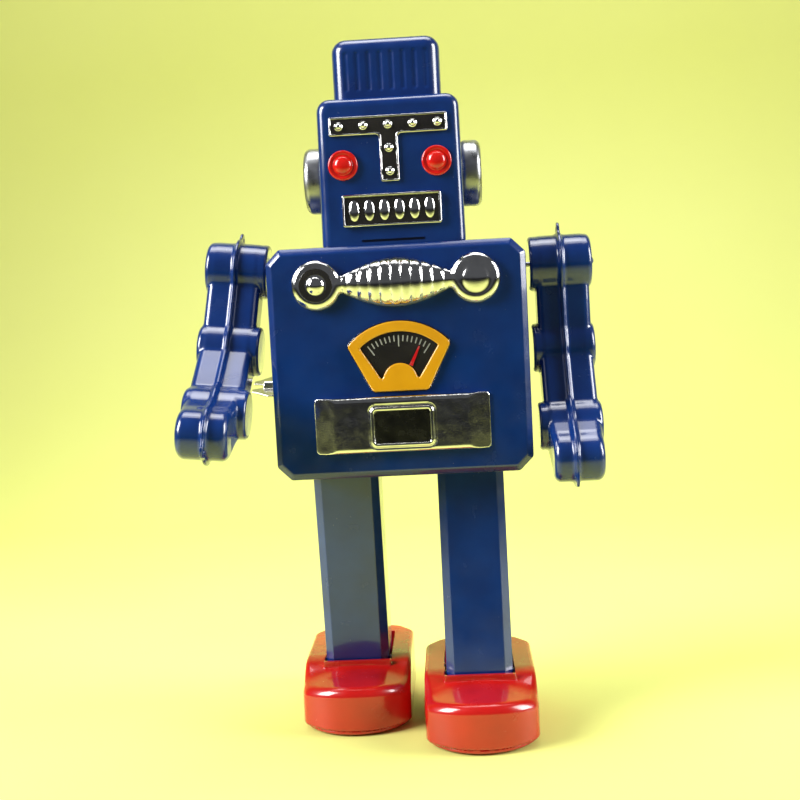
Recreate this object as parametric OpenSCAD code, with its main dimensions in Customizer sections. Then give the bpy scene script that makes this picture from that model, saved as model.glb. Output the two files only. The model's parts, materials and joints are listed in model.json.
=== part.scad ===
// Wind-up walking tin robot: pressed tin shells round a clockwork motor.
// Millimetres, +Z up, the face and chest look along -Y, the robot's own left is +X.
// The origin is on the floor, under the middle of the whole robot. The modules are drawn about the
// body's own middle, and the last lines move each one to its place.

/* [Body] */
// Width of the body box
body_w = 84; // [80:1:90]
// Depth of the body box
body_d = 50; // [48:1:56]
// Height of the body box
body_h = 75.5; // [74:0.5:80]
// Height of the body's underside above the floor
body_z = 88; // [88:1:89]
// Thickness of the pressed tin
tin = 0.6; // [0.5:0.1:0.8]

/* [Head] */
// Width of the head
head_w = 46.6; // [44:0.2:50]
// Depth of the head
head_d = 46; // [42:1:48]
// Height of the head
head_h = 47; // [45:1:50]
// Width of the fluted cap on the head
cap_w = 35; // [32:1:38]
// Height of the fluted cap
cap_h = 19.5; // [16:0.5:22]

/* [Legs and feet] */
// Distance of each leg's middle plane from the robot's middle
leg_x = 21.2; // [21:0.1:22]
// Width of a leg
leg_w = 22.3; // [21:0.1:23]
// Depth of a leg, front to back
leg_d = 23; // [21:0.5:23.5]
// Distance from the hip shaft to the ankle pin
leg_len = 83; // [82:0.5:84]
// Height of the ankle pin above the floor
ankle_z = 17; // [16:0.5:18]
// Angle by which each leg stands forward or back at rest
stride = 7; // [4:0.5:8]
// Largest angle of a leg either side of upright
stride_max = 9; // [9:0.5:10]
// Width of a foot
foot_w = 37.3; // [36:0.1:38]
// Length of a foot
foot_l = 60; // [58:1:62]

/* [Arms] */
// Height of the arm axles at the body's walls
arm_z = 155.7; // [154:0.1:157]
// Middle angle about which the upper arms swing, forward of hanging
arm_mid = 10.5; // [8:0.5:12]
// Outward lean of the right arm on its loose axle
right_lean = 6; // [0:0.5:7]
// Outward lean of the left arm on its loose axle
left_lean = 0.5; // [0:0.5:7]
// Thickness of an arm's round bosses on each side of the seam flange
boss_t = 10.4; // [9:0.1:10.6]

/* [Clockwork] */
// Angle of the key's wings below level, front edge down, at rest
key_rest = 20; // [0:5:90]
// Half of the key's span
key_span = 8.4; // [6:0.2:8.4]
// Teeth on the great wheel
great_teeth = 36; // [36:4:36]
// Teeth on the second wheel
second_teeth = 40; // [40:4:40]
// Teeth on the crank wheel
crank_teeth = 32; // [32:4:32]
// Teeth on each of the second and crank pinions
pinion_teeth = 10; // [10:1:10]
// Teeth on the governor's pinion
governor_teeth = 8; // [8:1:8]

/* [Hidden] */
$fn = 64;

tin_blue = "#16307f";
tin_red = "#b5201f";
bright = "silver";
steel = "slategray";
brass = "goldenrod";
black = "#1b1b1d";

right = -1;
left = 1;
eps = 0.01;
run = 0.06;                         // radial running clearance
body_middle = [2.5, 8.2, 0];        // the key and the forward foot put the body off the middle

// Body box
front_y = -body_d / 2;
back_y = body_d / 2;
top_z = body_z + body_h;
body_corner = 4.5;                  // cut across each corner of the front outline
body_bevel = 1.8;                   // slope round the front and back faces
cover_d = 3;                        // depth of the rear cover's rim
lip = 3;                            // how far the rear cover's lip reaches into the front shell

// Head and face
head_z = top_z;
face_y = -head_d / 2;
head_r = 2.5;                       // rounding of the head's edges
cap_d = 36;
cap_z = head_z + head_h;
cap_r = 3.6;                        // rounding of the cap's top corners
cap_plan_r = 3;                     // rounding of its upright edges
flutes = 9;
flute_pitch = cap_w * 0.8 / flutes;
brow_w = 37.8;
brow_h = 5.9;
brow_z = head_z + 37.8;             // middle of the brow bar
stem_w = 6;
stem_h = 15;
rivet_pitch = 7.9;
rivet_r = 1.3;
trim_t = 0.8;                       // thickness of the pressed face plates
eye_x = 15;
eye_z = head_z + 25.6;
eye_r = 4.6;
mouth_w = 31.8;
mouth_h = 10.3;
mouth_z = head_z + 11;
teeth = 6;
tooth_pitch = 4.85;
ear_z = head_z + 23;
ear_r = 11;
ear_t = 6.4;

// Chest and belly
knob_x = 25.6;
knob_z = top_z - 12.1;
knob_r = 8.2;
knob_h = 4.2;
spindle_l = 17.5;                   // half length of the fluted spindle
ring_t = 0.3;                       // depth of the black ring's groove
gauge_z = top_z - 46.9;             // centre of the gauge's arcs
gauge_r = 22.2;
gauge_half_angle = 47;              // of its arc, either side of upright
gauge_rim = 3.4;                    // width of its yellow frame
window_hw = 7;                      // half width of the dial window's foot
window_z = 3.6;                     // height of that foot above the arcs' centre
bump_r = 5.6;                       // yellow hump at the dial's foot
bump_z = 3;
belly_w = 57;
belly_h = 18.2;
belly_z = body_z + 17.6;            // middle height of the belly plate
belly_t = 3;

// Hips, levers and crank
hip_z = ankle_z + leg_len * cos(stride);
hip_r = 1.5;
tube_top = -5.4;                    // leg tube's upper end, measured from the hip shaft
tube_bottom = -leg_len - 9;
leg_corner = 2.7;
bracket_x = 3.7;                    // inner strip's distance from the leg's middle plane
lever_reach = 38;                   // top of the lever above the hip shaft
motor_x = 13;                       // inner face of each motor plate
motor_t = 0.8;

// Clockwork: centres are [y, z] in the plane of the wheels
great_module = 0.55;
train_module = 0.5;
great_r = great_module * great_teeth / 2;
second_pinion_r = great_module * pinion_teeth / 2;
second_r = train_module * second_teeth / 2;
crank_pinion_r = train_module * pinion_teeth / 2;
crank_wheel_r = train_module * crank_teeth / 2;
governor_pinion_r = train_module * governor_teeth / 2;
arbor_c = [13, 116.5];
second_c = [12, arbor_c[1] + sqrt(pow(great_r + second_pinion_r, 2) - 1)];
crank_c = [0, second_c[1] - sqrt(pow(second_r + crank_pinion_r, 2) - pow(second_c[0], 2))];
governor_angle = 135;
governor_c = crank_c + (crank_wheel_r + governor_pinion_r) * [cos(governor_angle), sin(governor_angle)];
crank_throw = (crank_c[1] - hip_z) * sin(stride_max);
crank_phase = stride + asin(sin(stride) / sin(stride_max));
arbor_r = 1.6;
staff_r = 1;                        // shafts of the other wheels
key_x = -body_w / 2 - 3;            // near end of the key's wings
key_l = 9.5;

// Arm axles and arms. The lever pushes the axle's crank, so the arm turns this much faster.
axle_r = 0.8;
axle_play = 0.8;                    // the right axle rides this much high, the left one low
axle_crank = 23;
arm_ratio = (arm_z - axle_crank - hip_z) / axle_crank;
axle_crank_x = 20;
bearing_x = 30;
flange_x = 12.6;                    // seam flange's distance from the body wall
flange_t = 0.5;
flange_rim = 1.7;
limb_t = 8.4;                       // inner half's thickness between its bosses
limb_t_outer = 9.4;
elbow_len = 28.5;
wrist_len = 28.5;
hand_len = 13.8;
elbow_bend = 27;
hand_bend = 46.5;
shoulder_r = 9.2;
elbow_r = 8.3;
hand_r = 8;
limb_hw = 6.3;                      // half width of the limb between its bosses

// Feet: measured from the ankle pin, which is above the foot's middle
toe_y = -33;
heel_y = toe_y + foot_l;
toe_sweep = 9.5;                    // how far the toe's middle stands ahead of its corners
toe_r = (pow(foot_w / 2, 2) + pow(toe_sweep, 2)) / (2 * toe_sweep);
toe_h = 15;
foot_h = 20.5;
heel_corner = 5;
mouth_y = [-14, 19];                // front and back of the leg's opening
ear_gap = 0.35;
ankle_r = 1;
ankle_ear_r = 4.4;
roller_r = 3.5;
roller_l = 12;
roller_y = [-20, 21];
roller_pin_r = 0.8;
sole_z = 0.8;

function lead(side) = side * stride;                      // the left leg is the forward one
function arm_swing(side) = arm_mid - side * stride * arm_ratio;
function lean(side) = side == right ? right_lean : left_lean;
function axle_z(side) = arm_z - side * axle_play;
function ankle_y(side) = -leg_len * sin(lead(side));
function polar(r, a) = [r * cos(a), r * sin(a)];

// A 2D outline drawn in X and Z, extruded from y1 towards -Y as far as y0
module from_front(y0, y1) {
    translate([0, y1, 0]) rotate([90, 0, 0]) linear_extrude(y1 - y0) children();
}

// A 2D outline drawn in Y and Z, extruded from x0 to x1
module from_side(x0, x1) {
    translate([x0, 0, 0]) rotate([90, 0, 90]) linear_extrude(x1 - x0) children();
}

// A cylinder along X at a [y, z] centre
module rod(c, r, x0, x1) {
    from_side(x0, x1) translate(c) circle(r);
}

module round_rect(w, h, r) {
    square([w - 2 * r, h], center = true);
    square([w, h - 2 * r], center = true);
    for (x = [-1, 1], y = [-1, 1]) translate([x * (w / 2 - r), y * (h / 2 - r)]) circle(r);
}

// A rectangle with its four corners cut off
module cut_rect(w, h, c) {
    a = w / 2;
    b = h / 2;
    polygon([
        [a, c - b], [a, b - c], [a - c, b], [c - a, b],
        [-a, b - c], [-a, c - b], [c - a, -b], [a - c, -b]
    ]);
}

// Wheel outline whose first tooth points along the angle phase
module gear_outline(teeth_n, modul, phase) {
    pitch_r = modul * teeth_n / 2;
    tip = pitch_r + 0.8 * modul;
    root = pitch_r - 1.15 * modul;
    step = 360 / teeth_n;
    polygon([
        for (i = [0:teeth_n - 1])
            for (k = [[root, -0.27], [tip, -0.1], [tip, 0.1], [root, 0.27]])
                polar(k[0], phase + (i + k[1]) * step)
    ]);
}

module gear(c, teeth_n, modul, phase, x0, x1) {
    from_side(x0, x1) translate(c) gear_outline(teeth_n, modul, phase);
}

// The direction, in the wheels' plane, from one centre to another
function bearing(from, to) = atan2(to[1] - from[1], to[0] - from[0]);

// Body box outline, shrunk on all sides by inset
module body_outline(inset) {
    translate([0, body_z + body_h / 2])
        cut_rect(body_w - 2 * inset, body_h - 2 * inset, body_corner - 0.6 * inset);
}

// Pan with a flat face and a sloping bevel round it; face at y0, open at y1
module pan(y0, y1, inset) {
    away = y1 > y0 ? 1 : -1;
    slope_y = y0 + away * body_bevel;
    face_y1 = y0 + away * eps;
    hull() {
        from_front(min(slope_y, y1), max(slope_y, y1)) body_outline(inset);
        from_front(min(y0, face_y1), max(y0, face_y1)) body_outline(body_bevel + inset);
    }
}

module arm_frame(side) {
    translate([side * body_w / 2, 0, axle_z(side)])
        rotate([0, -side * lean(side), 0])
            mirror([side < 0 ? 1 : 0, 0, 0])
                children();
}

module leg_frame(side) {
    translate([side * leg_x, 0, hip_z]) rotate([-lead(side), 0, 0]) children();
}

module foot_frame(side) {
    translate([side * leg_x, ankle_y(side), 0]) children();
}

// ---- Body ----

module body_front() {
    color(tin_blue) difference() {
        pan(front_y, back_y - cover_d, 0);
        pan(front_y + tin, back_y, tin);
        translate([0, 0, body_z]) cube([body_w - 16, body_d - 14, 4], center = true);
        for (side = [right, left]) arm_frame(side) rod([0, 0], axle_r + run, -3, 3);
        rod(arbor_c, arbor_r + run, -body_w, -body_w / 2 + 2);
    }
}

module body_back() {
    color(tin_blue) {
        difference() {
            pan(back_y, back_y - cover_d, 0);
            pan(back_y - tin, back_y - cover_d - 1, tin);
        }
        difference() {
            from_front(back_y - cover_d - lip, back_y - cover_d + 1) body_outline(tin);
            from_front(back_y - cover_d - lip - 1, back_y - cover_d + 2) body_outline(2 * tin);
        }
    }
}

// Floor of the body, with a slot that each leg swings in
module bottom_plate() {
    slot_w = leg_w + 1;
    slot_d = leg_d + 7;
    color(steel) difference() {
        translate([-body_w / 2 + 5, -body_d / 2 + 4, body_z + tin]) cube([body_w - 10, body_d - 11, 1]);
        for (side = [right, left])
            translate([side * leg_x, 0, body_z + 1]) cube([slot_w, slot_d, 4], center = true);
    }
}

// ---- Head ----

module head_solid(inset) {
    w = head_w - 2 * inset;
    d = head_d - 2 * inset;
    h = head_h - 2 * inset;
    intersection() {
        from_front(-head_d / 2 + inset, head_d / 2 - inset)
            translate([0, head_z + head_h / 2]) round_rect(w, h, head_r);
        translate([0, 0, head_z + inset]) linear_extrude(h) round_rect(w, d, head_r);
    }
}

// Face, top and sides in one pressing, with the tab slot at the foot of the face
module head_shell() {
    slot_w = 20.4;
    color(tin_blue) difference() {
        head_solid(0);
        head_solid(tin);
        translate([-head_w, head_d / 2 - 1.5, head_z - 1]) cube([2 * head_w, 10, head_h + 2]);
        translate([-head_w / 2 + 4, -head_d / 2 + 4, head_z - 1]) cube([head_w - 8, head_d, 3]);
        translate([-slot_w / 2, face_y - 1, head_z + 0.9]) cube([slot_w, 3, 0.8]);
    }
}

module head_back() {
    color(tin_blue) intersection() {
        difference() {
            head_solid(0);
            head_solid(tin);
        }
        translate([-head_w, head_d / 2 - 1.5, head_z - 1]) cube([2 * head_w, 10, head_h + 2]);
    }
}

module cap_solid(inset) {
    w = cap_w - 2 * inset;
    d = cap_d - 2 * inset;
    h = cap_h - inset;
    intersection() {
        from_front(-d / 2 - 1, d / 2 + 1) translate([0, cap_z + h / 2 - 2]) round_rect(w, h + 4, cap_r);
        translate([0, 0, cap_z]) linear_extrude(h + 1) round_rect(w, d, cap_plan_r);
    }
}

module head_cap() {
    flute_r = 0.6;
    color(tin_blue) {
        difference() {
            cap_solid(0);
            translate([0, 0, -eps]) cap_solid(tin);
            for (i = [0:flutes - 1])
                translate([(i - (flutes - 1) / 2) * flute_pitch, -cap_d / 2 - 0.3, cap_z + 3])
                    cylinder(h = cap_h - 7, r = flute_r);
        }
    }
}

// T-shaped plate: a brow bar over a nose stem
module brow_plate() {
    color(black) from_front(face_y - trim_t, face_y) translate([0, brow_z]) {
        square([brow_w, brow_h], center = true);
        translate([-stem_w / 2, -brow_h / 2 - stem_h]) square([stem_w, stem_h + 1]);
    }
}

module brow_rivet(x, z) {
    translate([x, face_y - trim_t, z]) rotate([90, 0, 0]) intersection() {
        translate([0, 0, -0.4]) sphere(rivet_r);
        cylinder(h = rivet_r, r = rivet_r);
    }
}

module brow_rivets() {
    color(bright) {
        for (i = [-2:2]) brow_rivet(i * rivet_pitch, brow_z);
        for (i = [1, 2]) brow_rivet(0, brow_z - i * 7.35);
    }
}

// Round lens: a flange and a domed middle
module eye(side) {
    color(tin_red) translate([side * eye_x, face_y, eye_z]) rotate([90, 0, 0]) rotate_extrude() polygon([
        [0, 0], [eye_r, 0], [eye_r, 0.7], [eye_r - 0.6, 1.2], [3, 1.2], [2.6, 2.3], [1.6, 2.9], [0, 3.1]
    ]);
}

// Raised rim round a recessed field with a row of upright oval teeth
module mouth_plate() {
    rim = 0.9;
    tooth_w = 3.4;
    tooth_h = 7;
    color(bright) {
        difference() {
            from_front(face_y - 1.4, face_y)
                translate([0, mouth_z]) square([mouth_w, mouth_h], center = true);
            from_front(face_y - 2, face_y - 0.6)
                translate([0, mouth_z]) square([mouth_w - 2 * rim, mouth_h - 2 * rim], center = true);
        }
        for (i = [0:teeth - 1])
            from_front(face_y - 1.5, face_y - 0.5)
                translate([(i - (teeth - 1) / 2) * tooth_pitch, mouth_z])
                    round_rect(tooth_w, tooth_h, tooth_w / 2 - eps);
    }
}

module ear(side) {
    round_t = 2;
    color(bright) translate([side * head_w / 2, 0, ear_z]) rotate([0, side * 90, 0]) rotate_extrude() {
        square([ear_r, ear_t - round_t]);
        square([ear_r - round_t, ear_t]);
        translate([ear_r - round_t, ear_t - round_t]) circle(round_t);
    }
}

// ---- Chest ----

function spindle_r(x) = 3.1 + 5.2 * pow(cos(90 * min(1, abs(x) / spindle_l)), 0.9);

// Pressing with a domed knob at each end of a fluted spindle, flat at the back
module ornament_solid(inset) {
    knob = knob_r - inset;
    intersection() {
        union() {
            for (side = [right, left])
                translate([side * knob_x, front_y, knob_z]) rotate([90, 0, 0])
                    cylinder(h = knob_h - inset, r1 = knob, r2 = knob - 2.6);
            translate([0, front_y, knob_z]) rotate([0, 90, 0]) rotate_extrude() polygon(concat(
                [[0, -spindle_l - 3]],
                [for (i = [-14:14]) let (x = i * (spindle_l + 3) / 14) [spindle_r(x) - inset, x]],
                [[0, spindle_l + 3]]
            ));
        }
        translate([-body_w / 2, front_y - 20, top_z - 40]) cube([body_w, 20, 40]);
    }
}

module ring_outline() {
    translate([right * knob_x, knob_z]) difference() {
        circle(5.4);
        circle(3.4);
    }
}

module chest_ornament() {
    color(bright) difference() {
        ornament_solid(0);
        translate([0, eps, 0]) ornament_solid(tin);
        from_front(front_y - knob_h - 1, front_y - knob_h + ring_t) ring_outline();
    }
}

// Black ring set into a groove in the right knob
module ornament_ring() {
    color(black) from_front(front_y - knob_h - 0.1, front_y - knob_h + ring_t) ring_outline();
}

// Fan: an arc over straight sides that close in on a flat foot
module fan(r, foot_hw, foot_z) {
    half_a = gauge_half_angle;
    polygon(concat(
        [[foot_hw, foot_z]],
        [for (i = [0:16]) polar(r, 90 - half_a + 2 * half_a * i / 16)],
        [[-foot_hw, foot_z]]
    ));
}

module gauge_window() {
    translate([0, gauge_z]) difference() {
        fan(gauge_r - gauge_rim, window_hw, window_z);
        translate([0, bump_z]) circle(bump_r);
    }
}

module gauge_bezel() {
    foot_hw = 9.3;
    color("orange") from_front(front_y - 1.4, front_y) difference() {
        translate([0, gauge_z]) fan(gauge_r, foot_hw, -0.4);
        gauge_window();
    }
}

module gauge_dial() {
    color(black) from_front(front_y - 0.5, front_y) gauge_window();
}

module gauge_needle() {
    color("red") from_front(front_y - 0.9, front_y - 0.5)
        polygon([[3.1, gauge_z + 7.6], [4.1, gauge_z + 7.2], [6.7, gauge_z + 13.4], [6.3, gauge_z + 13.5]]);
}

// Plate with sloping ends and a raised frame round a small window
module belly_plate() {
    slope = 5.6;
    rim_w = 20.6;
    rim_h = 13.4;
    rim_t = 0.9;
    edge_t = 0.5;                       // thickness left at the plate's two ends
    a = belly_w / 2;
    b = a - slope;
    hollow_a = a - 1;
    hollow_t = belly_t - tin;
    color(bright) difference() {
        union() {
            translate([0, front_y, belly_z - belly_h / 2]) linear_extrude(belly_h)
                polygon([[-a, 0], [-a, -edge_t], [-b, -belly_t], [b, -belly_t], [a, -edge_t], [a, 0]]);
            from_front(front_y - belly_t - rim_t, front_y - belly_t)
                translate([0, belly_z]) round_rect(rim_w, rim_h, 1.6);
        }
        translate([0, front_y, belly_z - belly_h / 2 + tin]) linear_extrude(belly_h - 2 * tin)
            polygon([
                [-hollow_a, 1], [-hollow_a, -0.1], [-b, -hollow_t],
                [b, -hollow_t], [hollow_a, -0.1], [hollow_a, 1]
            ]);
        from_front(front_y - belly_t - 1, front_y - belly_t - 0.3)
            translate([0, belly_z]) round_rect(rim_w - 2.4, rim_h - 2.4, 1);
    }
}

// ---- Clockwork ----

// Portal-shaped plate that straddles the legs and carries every staff
module motor_plate(side) {
    arch = 15;
    color(steel) difference() {
        from_side(side > 0 ? motor_x : -motor_x - motor_t, side > 0 ? motor_x + motor_t : -motor_x) {
            translate([-22, 105]) square([45, 37.5]);
            translate([-22, body_z + tin + 1]) square([22 - arch, 20]);
            translate([arch, body_z + tin + 1]) square([23 - arch, 20]);
            translate([-3.5, hip_z - 3]) square([7, 12]);
        }
        rod([0, hip_z], hip_r, -20, 20);
        rod(arbor_c, arbor_r + run, -20, 20);
        for (c = [second_c, crank_c, governor_c]) rod(c, staff_r + run, -20, 20);
    }
}

module motor_pillars() {
    pillar_r = 1.5;
    centres = [[-20, 108], [-20, 140], [21, 139.5], [20.5, 101.5]];
    color(steel) for (c = centres) rod(c, pillar_r, -motor_x, motor_x);
}

module hip_shaft() {
    collar_r = 2.6;
    color(steel) {
        rod([0, hip_z], hip_r, -28, 28);
        for (side = [right, left]) rod([0, hip_z], collar_r, side * 28.5 - 0.6, side * 28.5 + 0.6);
    }
}

// Cross plate inside the body that holds an arm axle's inner part
module axle_bearing(side) {
    color(steel) difference() {
        from_side(side * bearing_x - 0.4, side * bearing_x + 0.4)
            translate([front_y + tin, 147]) square([body_d - cover_d - lip - tin - 1, 14]);
        arm_frame(side) rod([0, 0], axle_r + run, -20, 0);
    }
}

// Spiral of flat steel strip round the arbor
module mainspring() {
    turns = 5;
    steps = 24 * turns;
    strip = 0.45;
    color(steel) from_side(-11, -3) translate(arbor_c) polygon(concat(
        [for (i = [0:steps]) polar(arbor_r + 0.7 + 6.6 * i / steps, 15 * i)],
        [for (i = [steps:-1:0]) polar(arbor_r + 0.7 + strip + 6.6 * i / steps, 15 * i)]
    ));
}

// Butterfly key of flat sheet on the arbor's outer end
module winding_key() {
    hub_r = 2.4;
    sheet = 0.8;
    color(bright) translate([0, arbor_c[0], arbor_c[1]]) rotate([key_rest, 0, 0]) difference() {
        union() {
            translate([key_x - key_l, 0, -sheet / 2]) linear_extrude(sheet) for (s = [-1, 1])
                polygon([
                    [3.5, 0], [3.5, s * 2], [key_l, s * key_span * 0.55], [key_l - 1.5, s * key_span * 0.6],
                    [3, s * key_span], [0.8, s * key_span], [0, s * key_span * 0.8], [0.6, s * 2.4], [2, 0]
                ]);
            rod([0, 0], hub_r, key_x - 5.5, key_x + 1.2);
        }
        rod([0, 0], arbor_r, key_x - 4, key_x + 3);
    }
}

module key_arbor() {
    color(steel) {
        rod(arbor_c, arbor_r, key_x - 4, motor_x + 2);
        gear(arbor_c, 12, 0.55, 0, -3, -1.9);
    }
}

module wheel_disc(c, teeth_n, modul, phase, x0, x1, bore_r) {
    difference() {
        gear(c, teeth_n, modul, phase, x0, x1);
        rod(c, bore_r, x0 - 1, x1 + 1);
    }
}

module great_wheel() {
    phase = bearing(arbor_c, second_c);
    color(brass) wheel_disc(arbor_c, great_teeth, great_module, phase, -1.5, -0.3, arbor_r + run);
}

// Pawl riveted to the great wheel, just outside the ratchet's teeth
module click() {
    color(steel) from_side(-2.9, -1.5) translate(arbor_c)
        polygon([[4.2, 1.6], [4.4, 0.4], [7.4, -2.6], [8.4, -1.4], [5.2, 1.8]]);
}

module second_wheel() {
    pinion_phase = bearing(second_c, arbor_c) + 180 / pinion_teeth;
    color(brass) {
        rod(second_c, staff_r, -motor_x - motor_t, motor_x + motor_t);
        gear(second_c, pinion_teeth, great_module, pinion_phase, -2, 0.2);
        gear(second_c, second_teeth, train_module, bearing(second_c, crank_c), 1.5, 2.5);
    }
}

// Staff with a pinion, a wheel, and a crank disc and pin at each end
module crank_shaft() {
    pinion_phase = bearing(crank_c, second_c) + 180 / pinion_teeth;
    disc_r = crank_throw + 1.8;
    disc_x = motor_x + motor_t + 0.6;
    color(brass) {
        rod(crank_c, staff_r, -disc_x - 0.5, disc_x + 0.5);
        gear(crank_c, pinion_teeth, train_module, pinion_phase, 1.1, 2.9);
        gear(crank_c, crank_teeth, train_module, bearing(crank_c, governor_c), 5, 6);
        for (side = [right, left]) {
            pin_c = crank_c + side * polar(crank_throw, 90 - crank_phase);
            rod(crank_c, disc_r, side * (disc_x + 0.5) - 0.5, side * (disc_x + 0.5) + 0.5);
            rod(pin_c, 0.7, side * (disc_x + 1.3) - 0.6, side * (disc_x + 1.3) + 0.6);
        }
    }
}

// Pinion and two-bladed fly that hold the clockwork's speed
module governor() {
    pinion_phase = bearing(governor_c, crank_c) + 180 / governor_teeth;
    color(brass) {
        rod(governor_c, staff_r, -motor_x - motor_t, motor_x + motor_t);
        gear(governor_c, governor_teeth, train_module, pinion_phase, 4.6, 6.4);
        from_side(8, 11) translate(governor_c) square([9, 1.6], center = true);
    }
}

// ---- Arms, drawn for the left side with the axle along X ----

function elbow_c() = [0, -elbow_len];
function wrist_c() = elbow_c() + wrist_len * [-sin(elbow_bend), -cos(elbow_bend)];
function hand_c() = wrist_c() + hand_len * [-sin(hand_bend), -cos(hand_bend)];

// Straight stretch of limb between two centres
module limb(a, b, hw) {
    along = bearing(a, b);
    side_step = polar(hw, along + 90);
    polygon([a + side_step, b + side_step, b - side_step, a - side_step]);
}

// Side outline of the whole arm, grown by grow
module arm_outline(grow) {
    circle(shoulder_r + grow);
    translate(elbow_c()) circle(elbow_r + grow);
    translate(wrist_c()) circle(hand_r + grow);
    translate(hand_c()) circle(hand_r + grow);
    limb([0, 0], elbow_c(), limb_hw + grow);
    limb(elbow_c(), wrist_c(), limb_hw + grow);
    limb(wrist_c(), hand_c(), limb_hw + grow);
}

// Round bosses at the shoulder, elbow and wrist
module boss_outline(grow) {
    circle(shoulder_r + grow);
    translate(elbow_c()) circle(elbow_r + grow);
    translate(wrist_c()) circle(hand_r + grow);
}

// One half of an arm, its open side on the seam plane, pressed towards +X
module arm_half(limb_depth) {
    difference() {
        union() {
            from_side(0, flange_t) arm_outline(flange_rim);
            from_side(0, limb_depth) arm_outline(0);
            from_side(0, boss_t) boss_outline(0);
        }
        from_side(-1, limb_depth - tin) arm_outline(-tin);
        from_side(-1, boss_t - tin) boss_outline(-tin);
    }
}

module arm_outer(side) {
    color(tin_blue) arm_frame(side) translate([flange_x, 0, 0]) rotate([-arm_swing(side), 0, 0])
        arm_half(limb_t_outer);
}

module arm_inner(side) {
    color(tin_blue) arm_frame(side) difference() {
        translate([flange_x, 0, 0]) rotate([-arm_swing(side), 0, 0]) mirror([1, 0, 0]) arm_half(limb_t);
        rod([0, 0], axle_r, 0, flange_x);
    }
}

// Wire axle bent down at its inner end, where the leg's lever pushes it
module arm_axle(side) {
    inner_x = axle_crank_x - body_w / 2;
    color(black) arm_frame(side) {
        rod([0, 0], axle_r, inner_x, flange_x + boss_t - tin);
        translate([inner_x, 0, 0]) sphere(axle_r);
        rotate([arm_mid - arm_swing(side), 0, 0])
            translate([inner_x, 0, -axle_crank]) cylinder(h = axle_crank, r = axle_r);
    }
}

// ---- Legs ----

module leg_outline(inset) {
    cut_rect(leg_w - 2 * inset, leg_d - 2 * inset, leg_corner - 0.6 * inset);
}

module leg_tube(side) {
    color(tin_blue) leg_frame(side) difference() {
        translate([0, 0, tube_bottom]) linear_extrude(tube_top - tube_bottom) leg_outline(0);
        translate([0, 0, tube_bottom - 1]) linear_extrude(tube_top - tube_bottom + 2) leg_outline(tin);
        rod([0, -leg_len], ankle_r + run, -leg_w, leg_w);
    }
}

// U-shaped strip on the hip shaft; its inner limb is the slotted lever
module leg_bracket(side) {
    seat_z = tube_top - 10;
    seat_hw = leg_d / 2 - tin;
    inner = -side * bracket_x;
    outer = side * bracket_x;
    color(steel) leg_frame(side) difference() {
        union() {
            for (x = [inner, outer]) from_side(x - 0.5, x + 0.5) {
                translate([-seat_hw, seat_z]) square([2 * seat_hw, -seat_z + tube_top]);
                translate([-4, tube_top - 1]) square([8, 10.5]);
            }
            from_side(inner - 0.5, inner + 0.5) translate([-3.2, 0]) square([6.4, lever_reach]);
            translate([0, 0, tube_top - 1]) cube([2 * bracket_x, 6, 1], center = true);
        }
        rod([0, 0], hip_r + run, -20, 20);
        from_side(inner - 1, inner + 1) translate([-1, 19]) square([2, lever_reach - 21]);
    }
}

// ---- Feet: Y from the ankle pin, Z from the floor ----

module foot_plan(inset) {
    hw = foot_w / 2 - inset;
    arc_a = asin(hw / (toe_r - inset));
    heel = heel_y - inset;
    cut = heel_corner - 0.4 * inset;
    polygon(concat(
        [for (i = [-12:12]) [0, toe_y + toe_r] + polar(toe_r - inset, 270 + arc_a * i / 12)],
        [[hw, heel - cut], [hw - cut, heel], [cut - hw, heel], [-hw, heel - cut]]
    ));
}

module foot_profile(inset) {
    polygon([[toe_y - 1, -1], [toe_y - 1, toe_h - inset], [mouth_y[0], foot_h - inset],
        [heel_y + 1, foot_h - inset], [heel_y + 1, -1]]);
}

module foot_solid(inset) {
    intersection() {
        linear_extrude(foot_h) foot_plan(inset);
        from_side(-foot_w, foot_w) foot_profile(inset);
    }
}

module foot_shell(side) {
    hole_hw = leg_w / 2 + ear_gap + 0.15;
    ear_x = leg_w / 2 + ear_gap + 0.4;  // middle of each ear's thickness
    color(tin_red) foot_frame(side) difference() {
        union() {
            difference() {
                foot_solid(0);
                translate([0, 0, -eps]) foot_solid(tin);
                translate([-hole_hw, mouth_y[0], ankle_z]) cube([2 * hole_hw, mouth_y[1] - mouth_y[0], 10]);
            }
            for (s = [-1, 1]) rod([0, ankle_z], ankle_ear_r, s * ear_x - 0.4, s * ear_x + 0.4);
        }
        rod([0, ankle_z], ankle_r, -foot_w / 2 + 2, foot_w / 2 - 2);
    }
}

module sole_plate(side) {
    lug_x = roller_l / 2 + 0.5;
    color(black) foot_frame(side) difference() {
        union() {
            difference() {
                translate([0, 0, sole_z]) linear_extrude(tin) foot_plan(tin);
                for (y = roller_y)
                    translate([0, y, sole_z]) cube([roller_l + 0.8, 2 * roller_r + 1.4, 4], center = true);
            }
            for (y = roller_y, s = [-1, 1])
                from_side(s * (lug_x + 0.4) - 0.4, s * (lug_x + 0.4) + 0.4)
                    translate([y - 2.5, sole_z]) square([5, roller_r + 2]);
        }
        for (y = roller_y) rod([y, roller_r], roller_pin_r, -12, 12);
    }
}

module ankle_pin(side) {
    half_l = leg_w / 2 + ear_gap + 1.4;
    color(steel) foot_frame(side) rod([0, ankle_z], ankle_r, -half_l, half_l);
}

module roller_pins(side) {
    half_l = roller_l / 2 + 2;
    color(steel) foot_frame(side) for (y = roller_y) rod([y, roller_r], roller_pin_r, -half_l, half_l);
}

module roller(side, y) {
    color(black) foot_frame(side) difference() {
        rod([y, roller_r], roller_r, -roller_l / 2, roller_l / 2);
        rod([y, roller_r], roller_pin_r + run, -roller_l, roller_l);
    }
}

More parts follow.
